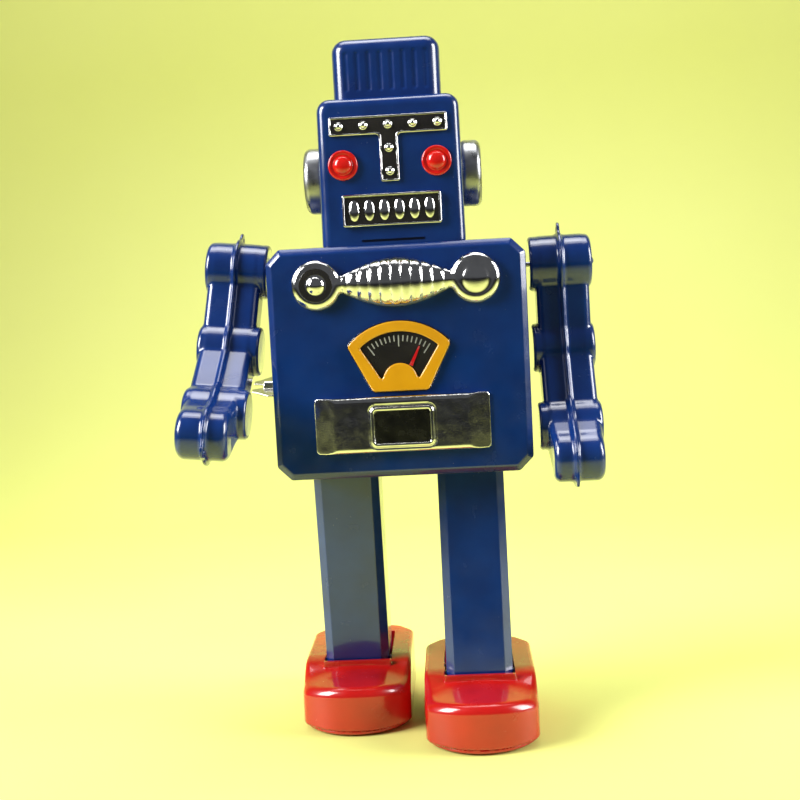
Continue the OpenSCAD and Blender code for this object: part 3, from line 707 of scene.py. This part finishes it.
def make_ears():
    for side_name, side in SIDES.items():
        lo, hi = node_box(f"{side_name}_ear")
        radius = (hi[2] - lo[2]) / 2
        thick = hi[0] - lo[0]
        profile = [(radius - 0.5, 0), (radius - 0.1, 0.5), (radius, 1.2)]
        profile += arc((radius - 2.2, thick - 2.3), 2.2, 0, 80, 7)
        profile += [(radius - 3.2, thick - 0.1), (radius - 4.4, thick - 0.5), (radius - 5, thick - 0.55)]
        profile += [(3.0, thick - 0.25), (0.6, thick - 0.1)]
        base_x = side * abs(lo if side > 0 else hi)[0]
        centre_z = (lo[2] + hi[2]) / 2
        rings = [
            np.c_[base_x + side * r[:, 2], r[:, 0] * side, centre_z + r[:, 1]]
            for r in turned(profile, 72)
        ]
        add(f"{side_name}_ear_disc", *loft(rings), "torso", dull_tin, "bright_tin", [f"{side_name}_ear"])


# ---- Chest ----

knob_x = 25.6
knob_r = 8.2
left_dome_r = 5.4        # the left knob is nearly all dome
right_dome_r = 3.4       # and the right one has a black ring round a small dome
ornament_z = node_box("chest_ornament")[1][2] - 8.3
spindle_l = 17.5
spindle_flat = 0.78      # depth of the spindle against its half height
flute_pitch = 3.5


def spindle_radius(x):
    part = np.cos(np.minimum(np.abs(x) / spindle_l, 1) * math.pi / 2)
    swell = 3.0 + 5.2 * np.maximum(part, 0) ** 0.95
    return swell - 0.1


def spindle_fold(x, height):
    """Depth of the creases across the spindle, fading towards its flat foot."""
    fold = np.abs(np.cos(math.pi * x / flute_pitch))
    return 0.62 * (1 - fold) ** 1.3 * np.clip(height / 3.5, 0, 1)


def knob_distance(x, z, height, centre_x, dome_r):
    """A saucer with a dome standing in it."""
    reach = length(x - centre_x, z - ornament_z)
    saucer = pressed(reach - knob_r, height, 2.9 - 0.02 * np.maximum(reach - 5, 0) ** 2.4, 2.4)
    dome = (length(reach / dome_r, (height - 1.2) / 3.1) - 1) * 3.1
    return join(saucer, dome, 0.4)


def ornament_distance(x, y, z):
    height = front_y - y
    spindle = length(height / spindle_flat, z - ornament_z) - spindle_radius(x) + spindle_fold(x, height)
    spindle = np.maximum(spindle * 0.8, np.abs(x) - spindle_l - 4)
    left_knob = knob_distance(x, z, height, knob_x, left_dome_r)
    knobs = np.minimum(left_knob, knob_distance(x, z, height, -knob_x, right_dome_r))
    shape = join(spindle, knobs, 1.0)
    return np.maximum(shape, -height)


def ring_distance(x, y, z):
    """Black ring round the right knob's dome, lying on the knob."""
    height = front_y - y
    reach = length(x + knob_x, z - ornament_z)
    band = np.abs(reach - right_dome_r - 1.0) - 1.0
    on_top = np.abs(knob_distance(x, z, height, -knob_x, right_dome_r)) - 0.12
    return meet(band, on_top, 0.1)


def make_ornament():
    lo, hi = node_box("chest_ornament")
    add_net("chest_ornament_skin", ornament_distance, lo, hi, 0.36, "torso", chrome, "bright_tin",
            ["chest_ornament"])
    ring_lo = np.array([-knob_x - 6, lo[1], ornament_z - 6])
    ring_hi = np.array([-knob_x + 6, front_y, ornament_z + 6])
    add_net("ornament_ring_skin", ring_distance, ring_lo, ring_hi, 0.2, "torso", black, "black_paint",
            ["ornament_ring"])


gauge_r = 22.2
gauge_rim = 3.4
bezel_lo, bezel_hi = node_box("gauge_bezel")
gauge_z = bezel_hi[2] - gauge_r
gauge_foot = bezel_lo[2] - gauge_z
gauge_half_angle = 46
gauge_foot_hw = 8.1
gauge_corner = 1.5
window_half_angle = 41
window_foot_hw = 5.9
window_foot_z = 4.1
window_corner = 0.5
hump_z = 3.0             # centre and radius of the yellow hump at the dial's foot
hump_r = 5.6
tick_outer = 17.6        # outer end of every tick, and inner ends of the long and short ones
tick_long = 13.9
tick_short = 15.6


def fan_points(radius, half_angle, foot_hw, foot_z):
    """An arc with straight sides down to a narrow foot."""
    points = [(foot_hw, foot_z)]
    for i in range(25):
        angle = math.radians(90 - half_angle + 2 * half_angle * i / 24)
        points.append((radius * math.cos(angle), radius * math.sin(angle)))
    return points + [(-foot_hw, foot_z)]


def gauge_outline(x, z):
    fan = fan_points(gauge_r - gauge_corner, gauge_half_angle, gauge_foot_hw, gauge_foot + gauge_corner)
    return polygon(x, z - gauge_z, fan) - gauge_corner


def gauge_window(x, z):
    radius = gauge_r - gauge_rim - window_corner
    fan = fan_points(radius, window_half_angle, window_foot_hw, window_foot_z)
    hump = disc(x, z - gauge_z, (0, hump_z), hump_r)
    return meet(polygon(x, z - gauge_z, fan) - window_corner, -hump, 1.2)


def bezel_distance(x, y, z):
    height = front_y - y
    face = meet(gauge_outline(x, z), -gauge_window(x, z), 0.01)
    return np.maximum(pressed(face, height, 1.35, 0.5), -height)


def bezel_shadow_line(x, y, z):
    height = front_y - y
    return np.maximum(pressed(gauge_outline(x, z) - 0.42, height, 0.3, 0.1), -height)


def dial_distance(x, y, z):
    height = front_y - y
    return np.maximum(pressed(gauge_window(x, z) - 0.4, height, 0.5, 0.05), -height)


def dial_bar(angle, start, stop, half_width, top):
    """A flat rounded bar on the dial, from radius start to radius stop."""
    across = np.array([math.cos(angle), 0, -math.sin(angle)])
    out = np.array([math.sin(angle), 0, math.cos(angle)])
    outline = cut_outline(half_width, (stop - start) / 2, half_width * 0.6, half_width * 0.3, 2)
    middle = np.array([0, 0, gauge_z]) + out * (start + stop) / 2
    rings = [
        middle + outline[:, :1] * across * grow + outline[:, 1:] * out + np.array([0, front_y - h, 0])
        for grow, h in ((1, 0.45), (1, top - 0.02), (0.8, top))
    ]
    return loft(rings)


def make_gauge():
    lo, hi = bezel_lo - (0.6, 0, 0.6), bezel_hi + (0.6, 0, 0.6)
    add_net("gauge_frame", bezel_distance, lo, hi, 0.36, "torso", yellow, "yellow_paint", ["gauge_bezel"])
    add_net("gauge_frame_line", bezel_shadow_line, lo, hi, 0.5, "torso", black, "black_paint")
    add_net("gauge_dial_face", dial_distance, lo, hi, 0.5, "torso", black, "black_paint", ["gauge_dial"])
    ticks = []
    for i in range(15):
        angle = math.radians(-35 + 5 * i)
        inner = tick_long if i % 7 == 0 else tick_short
        ticks.append(dial_bar(angle, inner, tick_outer, 0.2, 0.56))
    add("gauge_ticks", *combined(ticks), "torso", white_paint, "bright_tin")
    make_needle()


def make_needle():
    foot = np.array([3.6, gauge_z + 7.6])
    tip = np.array([6.5, gauge_z + 13.6])
    along = (tip - foot) / np.hypot(*(tip - foot))
    across = np.array([along[1], -along[0]])
    outline = np.array([foot - across * 0.62, foot + across * 0.62, tip + across * 0.24, tip + along * 0.2,
                        tip - across * 0.24])
    rings = [np.c_[outline[:, 0], np.full(5, front_y - h), outline[:, 1]] for h in (0.45, 0.85)]
    add("gauge_needle_blade", *loft(rings), "torso", red_paint, "red_paint", ["gauge_needle"])


belly_lo, belly_hi = node_box("belly_plate")
belly_z = (belly_lo[2] + belly_hi[2]) / 2
belly_hw = belly_hi[0]
belly_hh = (belly_hi[2] - belly_lo[2]) / 2
belly_end = 7.0          # length of each sloping end
belly_top = 3.0
end_rim = 0.6            # height of the plate's edge at the foot of each end
window_hw = 9.6
window_hh = 5.9
window_drop = 0.7        # how far the framed window lies below the plate's middle


def belly_distance(x, y, z):
    """Raised plate with sloping ends and a beaded frame round a sunk window."""
    height = front_y - y
    outline = rect(x, z - belly_z, belly_hw, belly_hh, 1.4)
    plate = pressed(outline, height, belly_top, 1.5)
    rise = belly_top - end_rim
    ends = rise * (np.abs(x) - belly_hw + belly_end) + belly_end * (height - belly_top)
    plate = meet(plate, ends / math.hypot(belly_end, rise), 0.25)
    frame_edge = rect(x, z - belly_z + window_drop, window_hw, window_hh, 1.4)
    bead = length(frame_edge, height - belly_top - 0.15) - 0.72
    well = np.maximum(frame_edge, belly_top - 0.25 - height)
    gutter = length(frame_edge - 1.05, height - belly_top - 0.1) - 0.35
    plate = meet(meet(plate, -well, 0.2), -gutter, 0.25)
    return np.maximum(join(plate, bead, 0.15), -height)


def belly_window(x, y, z):
    height = front_y - y
    outline = rect(x, z - belly_z + window_drop, window_hw - 0.4, window_hh - 0.4, 1.2)
    return np.maximum(pressed(outline, height, belly_top - 0.15, 0.05), belly_top - 0.6 - height)


def make_belly():
    add_net("belly_plate_skin", belly_distance, belly_lo, belly_hi, 0.36, "torso", chrome, "bright_tin",
            ["belly_plate"])
    add_net("belly_window_plate", belly_window, belly_lo, belly_hi, 0.4, "torso", dark_steel, "motor_steel")


# ---- Arms, in the limb's own frame: u out from the seam plane, y and z across it ----

elbow = (0.0, -28.5)
bend = math.radians(27)
wrist = (elbow[0] - 28.5 * math.sin(bend), elbow[1] - 28.5 * math.cos(bend))
hand_bend = math.radians(46.5)
hand = (wrist[0] - 13.8 * math.sin(hand_bend), wrist[1] - 13.8 * math.cos(hand_bend))
shoulder_r = 9.2
elbow_r = 8.3
hand_r = 8.0
limb_hw = 6.3
boss_top = 10.4
flange_out = 12.6


def bosses(y, z):
    shoulder_disc = disc(y, z, (0, 0), shoulder_r)
    elbow_disc = disc(y, z, elbow, elbow_r)
    return np.minimum(np.minimum(shoulder_disc, elbow_disc), disc(y, z, wrist, hand_r))


def limb(y, z):
    upper = bar(y, z, (0, 0), elbow, limb_hw)
    lower = bar(y, z, elbow, wrist, limb_hw)
    palm = bar(y, z, wrist, hand, hand_r - 0.6)
    return join(join(upper, lower, 2.0), palm, 2.0)


def arm_distance(u, y, z):
    """Two pressed halves with round bosses, and the seam flange standing out between them."""
    stretch = limb(y, z)
    round_ends = np.minimum(bosses(y, z), disc(y, z, hand, hand_r))
    outline = join(stretch, round_ends, 1.2)
    to_hand = np.clip(((y - wrist[0]) + (z - wrist[1])) / (hand[0] - wrist[0] + hand[1] - wrist[1]), 0, 1)
    inner_top = 8.4 - 1.4 * to_hand
    halves = np.maximum(pressed(outline, u, 9.4, 2.7), pressed(outline, -u, inner_top, 2.4))
    drum = bosses(y, z)
    drums = np.maximum(pressed(drum, u, boss_top, 1.9), pressed(drum, -u, boss_top, 1.0))
    hub = length(u - boss_top + 0.3, y, z) - 1.6
    fin_outline = join(outline - 1.6, disc(y, z, (0.0, shoulder_r + 1.5), 2.8), 2.0)
    hand_out = (hand[0] - 9.2 * math.sin(hand_bend), hand[1] - 9.2 * math.cos(hand_bend))
    fin_outline = join(fin_outline, disc(y, z, hand_out, 2.6), 2.0)
    eyelets = np.minimum(disc(y, z, (0.0, shoulder_r + 1.9), 0.75), disc(y, z, hand_out, 0.7))
    fin = meet(pressed(fin_outline, np.abs(u), 0.5, 0.35), -eyelets, 0.2)
    solid = join(join(halves, drums, 0.6), hub, 0.3)
    return join(solid, fin, 1.6)


def bare_disc(u, y, z):
    """Distance in from the edge of the bosses' unpainted inner discs."""
    inward = -bosses(y, z) - 1.25
    return np.minimum(inward, -u - boss_top + 1.1)


def axis_angle(joint_name):
    """Lean of an arm's axle about Y, from its joint's axis."""
    joint = next(j for j in frame["joints"] if j["name"] == joint_name)
    return math.atan2(joint["axis"][2], -joint["axis"][0])


def swing_angle(side):
    """How far an arm hangs forward at rest."""
    middle = 10.5
    stride = 7.0
    lever_ratio = 1.44864
    return math.radians(middle - side * stride * lever_ratio)


def make_arms():
    lo = (-boss_top, -36, -78)
    hi = (boss_top + 1.2, 12, 14)
    for side_name, side in SIDES.items():
        axle = joint_place(f"{side_name}_shoulder")
        mirror = Matrix.Scale(side, 4, Vector((1, 0, 0)))
        matrix = (
            Matrix.Translation(Vector(axle)) @ Matrix.Rotation(axis_angle(f"{side_name}_shoulder"), 4, "Y")
            @ mirror @ Matrix.Translation(Vector((flange_out, 0, 0)))
            @ Matrix.Rotation(-swing_angle(side), 4, "X")
        )
        nodes = [f"{side_name}_arm_outer", f"{side_name}_arm_inner"]
        add_net(f"{side_name}_arm_shell", arm_distance, lo, hi, 0.5, f"{side_name}_arm", arm_paint,
                "blue_tin", nodes, matrix, {"bare": bare_disc})


# ---- Legs ----

leg_hw = 11.15
leg_hd = 11.5
leg_corner = 2.7
tube_top = -5.4
tube_bottom = -92.0


def leg_ring(z, inset):
    outline = cut_outline(leg_hw - inset, leg_hd - inset, leg_corner - 0.6 * inset, 0.7)
    return np.c_[outline, np.full(len(outline), z)]


def leg_matrix(side_name):
    hip = joint_place(f"{side_name}_hip")
    ankle = joint_place(f"{side_name}_ankle")
    forward = math.atan2(hip[1] - ankle[1], hip[2] - ankle[2])
    return Matrix.Translation(Vector(hip)) @ Matrix.Rotation(-forward, 4, "X")


def make_legs():
    rings = [
        leg_ring(tube_bottom, 0.15), leg_ring(tube_bottom + 0.15, 0), leg_ring(tube_top, 0),
        leg_ring(tube_top, tin), leg_ring(tube_bottom, tin),
    ]
    verts, faces = loft(rings, loop=True)
    for side_name in SIDES:
        add(f"{side_name}_leg_shell", placed(verts, leg_matrix(side_name)), faces, f"{side_name}_leg", blue,
            "blue_tin", [f"{side_name}_leg_tube"])


# ---- Feet: x and y from the ankle, z from the floor ----

foot_hw = 18.65
toe_y = -33.0
heel_y = 27.0
toe_sweep = 9.5
toe_r = (foot_hw ** 2 + toe_sweep ** 2) / (2 * toe_sweep)
toe_h = 16.4
slope_h = 18.0
crown = 2.6              # how far the toe's top falls from its middle to its sides
foot_h = 20.5
collar_y = -14.4
leg_gap_hw = 11.65       # opening that the leg stands in
leg_gap_hd = 15.8
leg_gap_y = 3.2          # its middle
hollow_y = 3.0           # wider space below it, where the leg's end swings
hollow_hd = 20.0
roller_y = 20.5          # each roller's distance from the middle of the pair
well_hw = 6.8            # space round each roller
well_hd = 4.4
ankle_z = 17.0


def foot_plan(x, y):
    """Outline from above: round toe, straight sides, heel with cut corners."""
    centre = toe_y + toe_r
    toe = np.where(y < centre, length(x, y - centre), np.abs(x)) - toe_r
    sides = np.abs(x) - foot_hw
    heel = y - heel_y
    corner = (np.abs(x) + y - foot_hw - heel_y + 5.0) / math.sqrt(2)
    return meet(meet(meet(toe, sides, 1.8), heel, 1.0), corner, 1.0)


def roller_wells(x, y):
    return rect(x, np.abs(y - 0.5) - roller_y, well_hw, well_hd, 0.5)


def foot_distance(x, y, z):
    """Crowned toe rising to a flat collar, open round the leg and the rollers."""
    plan = foot_plan(x, y)
    slope = (slope_h - toe_h) / (collar_y - toe_y)
    toe_top = toe_h + slope * (y - toe_y) - crown * (x / foot_hw) ** 2
    rear_top = join(foot_h, foot_h + 0.62 * (y - collar_y - 4.0), 3.0)
    top = -join(-toe_top, -rear_top, 3.0)
    edge_r = 3.0 - 1.5 * np.clip((y - collar_y + 4.0) / 8.0, 0, 1)
    shell = pressed(plan, (z - top) / 1.05, 0, edge_r)
    collar = np.maximum(rect(x, y - collar_y - 1.0, 11.9, 1.0, 0.4), z - foot_h)
    shell = join(shell, collar, 0.4)
    mouth = np.maximum(rect(x, y - leg_gap_y, leg_gap_hw, leg_gap_hd, 0.5), 12.0 - z)
    hollow = np.maximum(rect(x, y - hollow_y, leg_gap_hw, hollow_hd, 0.5), np.maximum(z - 14.0, 3.2 - z))
    wells = np.maximum(roller_wells(x, y), z - 7.8)
    shell = np.maximum(shell, -np.minimum(np.minimum(mouth, hollow), wells))
    groove = length(plan, z - 2.1) - 0.3
    return np.maximum(meet(shell, -groove, 0.15), 1.9 - z)


def foot_rim(x, y, z):
    """Lower edge of the foot, drawn in towards the toe's corners."""
    centre = toe_y + 19.5
    toe = np.where(y < centre, length(x, y - centre), np.abs(x)) - 19.2
    plan = meet(foot_plan(x, y) + 0.35, meet(toe, np.abs(x) - foot_hw + 0.9, 1.0), 0.5)
    return np.maximum(pressed(plan, -z, -0.7, 0.5), z - 2.0)


def sole_distance(x, y, z):
    """Blackened plate under the foot, open round both rollers."""
    plate = pressed(foot_plan(x, y) + 2.4, -z, -1.0, 0.2)
    return np.maximum(np.maximum(plate, z - 1.8), -roller_wells(x, y))


def ankle_tabs(x, y, z):
    """Round ears either side of the opening that hold the ankle pin."""
    ear = disc(y, z, (0, ankle_z), 3.6)
    return pressed(ear, np.abs(np.abs(x) - 12.0), 0.38, 0.15)


def make_feet():
    lo = np.array([-foot_hw, toe_y, 0])
    hi = np.array([foot_hw, heel_y, foot_h + 1.2])
    low_hi = (foot_hw, heel_y, 2.2)
    for side_name in SIDES:
        ankle = joint_place(f"{side_name}_ankle")
        matrix = Matrix.Translation(Vector((ankle[0], ankle[1], ground)))
        body = f"{side_name}_foot"
        add_net(f"{side_name}_foot_skin", foot_distance, lo, hi, 0.5, body, red, "red_tin",
                [f"{side_name}_foot_shell"], matrix)
        add_net(f"{side_name}_foot_rim", foot_rim, lo, low_hi, 0.5, body, red, "red_tin", (), matrix)
        add_net(f"{side_name}_sole_skin", sole_distance, lo, low_hi, 0.5, body, black_tin, "black_tin",
                [f"{side_name}_sole_plate"], matrix)
        add_net(f"{side_name}_ankle_ears", ankle_tabs, (-12.4, -4.4, 12.6), (12.4, 4.4, 21.4), 0.3, body, red,
                "red_tin", (), matrix)


# ---- Key ----

def key_outline(a, b):
    """Butterfly wings in the key's own plane: a along the shaft, b across it."""
    b = np.abs(b)
    wing = polygon(a, b, [(0.6, 1.6), (0.4, 6.6), (1.2, 8.0), (3.2, 8.2), (7.4, 5.2), (9.2, 4.4), (9.2, 2.4),
                          (5.0, 1.2), (3.0, 0.8)])
    return wing - 0.2


def key_distance(x, y, z):
    key_x = -body_hw - 3
    plate = pressed(key_outline(key_x - x, y), np.abs(z), 0.4, 0.2)
    hub = meet(length(y, z) - 2.4, np.abs(x - key_x + 2.15) - 3.35, 0.5)
    return join(plate, hub, 0.4)


def make_key():
    arbor = joint_place("key_turn")
    matrix = Matrix.Translation(Vector((0, arbor[1], arbor[2]))) @ Matrix.Rotation(math.radians(20), 4, "X")
    lo = np.array([-body_hw - 12.5, -8.4, -2.4])
    hi = np.array([-body_hw - 1.8, 8.4, 2.4])
    add_net("winding_key_blade", key_distance, lo, hi, 0.3, "key", key_steel, "key_steel",
            ["winding_key"], matrix)


# ---- Frame parts that stay as they are ----

KEPT_PAINT = {
    "brass": brass,
    "roller_rubber": rubber,
    "black_tin": black_tin,
    "motor_steel": motor_steel,
}


def paint_kept_nodes():
    for part in frame["record"]["subparts"]:
        node = frame["nodes"][part["node"]]
        if node.hide_render:
            continue
        node.data.materials.clear()
        node.data.materials.append(KEPT_PAINT[part["material_slot"]])
        if "roller" in part["node"] and "pins" not in part["node"]:
            bevel = node.modifiers.new("edge", "BEVEL")
            bevel.width = 0.4 * MM
            bevel.segments = 3
            bevel.limit_method = "ANGLE"


# ---- Stage, light and camera ----

def make_stage():
    """Pale floor that sweeps up into a backdrop behind the robot, with painted shade that darkens it well in front
    of the robot.
    """
    sweep = 350
    turns = np.linspace(0.05, math.pi / 2, 24)
    profile = [(-2500, 0), (sweep, 0)]
    profile += [(sweep + sweep * math.sin(a), sweep - sweep * math.cos(a)) for a in turns]
    profile += [(2 * sweep, 1800)]
    left = np.array([[-3000, y, z] for y, z in profile])
    verts = np.concatenate([left, left + (6000, 0, 0)])
    size = len(profile)
    faces = [(i, i + size, i + size + 1, i + 1) for i in range(size - 1)]
    s = Shader("pale_floor", (0.74, 0.77, 0.22), 0.6)
    split = s.nodes.new("ShaderNodeSeparateXYZ")
    s.links.new(s.place, split.inputs[0])
    # painted shade: the floor fades to near black well in front of the robot, standing in for the dark room that
    # the bright parts reflect
    painted_shade_fade = s.span(split.outputs["Y"], -0.6, -0.24)
    paper = s.mix(s.noise(6, 3), (0.73, 0.765, 0.20), (0.76, 0.79, 0.24))
    s.colour(s.mix(painted_shade_fade, (0.05, 0.05, 0.045), paper))
    s.bump(s.noise(900, 3), 0.00003)
    mesh = bpy.data.meshes.new("floor")
    mesh.from_pydata((verts * MM).tolist(), [], faces)
    mesh.polygons.foreach_set("use_smooth", [True] * len(mesh.polygons))
    mesh.materials.append(s.material)
    floor = bpy.data.objects.new("floor", mesh)
    bpy.context.scene.collection.objects.link(floor)


def add_softbox(name, place, aim, size, power, spread):
    data = bpy.data.lights.new(name, "AREA")
    data.shape = "RECTANGLE"
    data.size, data.size_y = size
    data.energy = power
    data.spread = math.radians(spread)
    lamp = bpy.data.objects.new(name, data)
    bpy.context.scene.collection.objects.link(lamp)
    lamp.location = place
    lamp.rotation_mode = "QUATERNION"
    lamp.rotation_quaternion = (Vector(aim) - Vector(place)).to_track_quat("-Z", "Y")


def make_light():
    middle = (0, 0, 0.12)
    add_softbox("key_light", (-0.72, -0.28, 0.55), middle, (0.4, 0.55), 2.9, 75)
    add_softbox("fill_light", (0.78, -0.12, 0.40), middle, (0.35, 0.55), 1.7, 75)
    add_softbox("top_light", (0.0, 0.12, 0.95), middle, (0.8, 0.5), 1.7, 100)
    add_softbox("backdrop_light", (0.0, 0.15, 0.95), (0, 0.7, 0.25), (1.2, 0.3), 3.9, 120)
    world = bpy.data.worlds.new("room")
    world.use_nodes = True
    room = world.node_tree.nodes["Background"]
    room.inputs["Color"].default_value = (0.9, 0.93, 1.0, 1)
    room.inputs["Strength"].default_value = 0.10
    bpy.context.scene.world = world


def make_camera():
    place = Vector(body_middle + (17.3, -412.1, 149.7)) * MM
    yaw, pitch, roll = (math.radians(a) for a in (-2.64, 5.39, -2.98))
    ahead = Vector((math.sin(yaw) * math.cos(pitch), math.cos(yaw) * math.cos(pitch), -math.sin(pitch)))
    level = Vector((math.cos(yaw), -math.sin(yaw), 0))
    upright = level.cross(ahead)
    across = math.cos(roll) * level + math.sin(roll) * upright
    up = math.cos(roll) * upright - math.sin(roll) * level
    data = bpy.data.cameras.new("camera")
    data.sensor_width = 36
    data.lens = 54.07
    camera = bpy.data.objects.new("camera", data)
    bpy.context.scene.collection.objects.link(camera)
    turn = Matrix((across, up, -ahead)).transposed().to_4x4()
    camera.matrix_world = Matrix.Translation(place) @ turn
    bpy.context.scene.camera = camera


make_body()
make_head()
make_cap()
make_brow()
make_rivets()
make_eyes()
make_mouth()
make_ears()
make_ornament()
make_gauge()
make_belly()
make_arms()
make_legs()
make_feet()
make_key()
paint_kept_nodes()
make_stage()
make_light()
make_camera()

bpy.context.scene.view_settings.view_transform = "Standard"
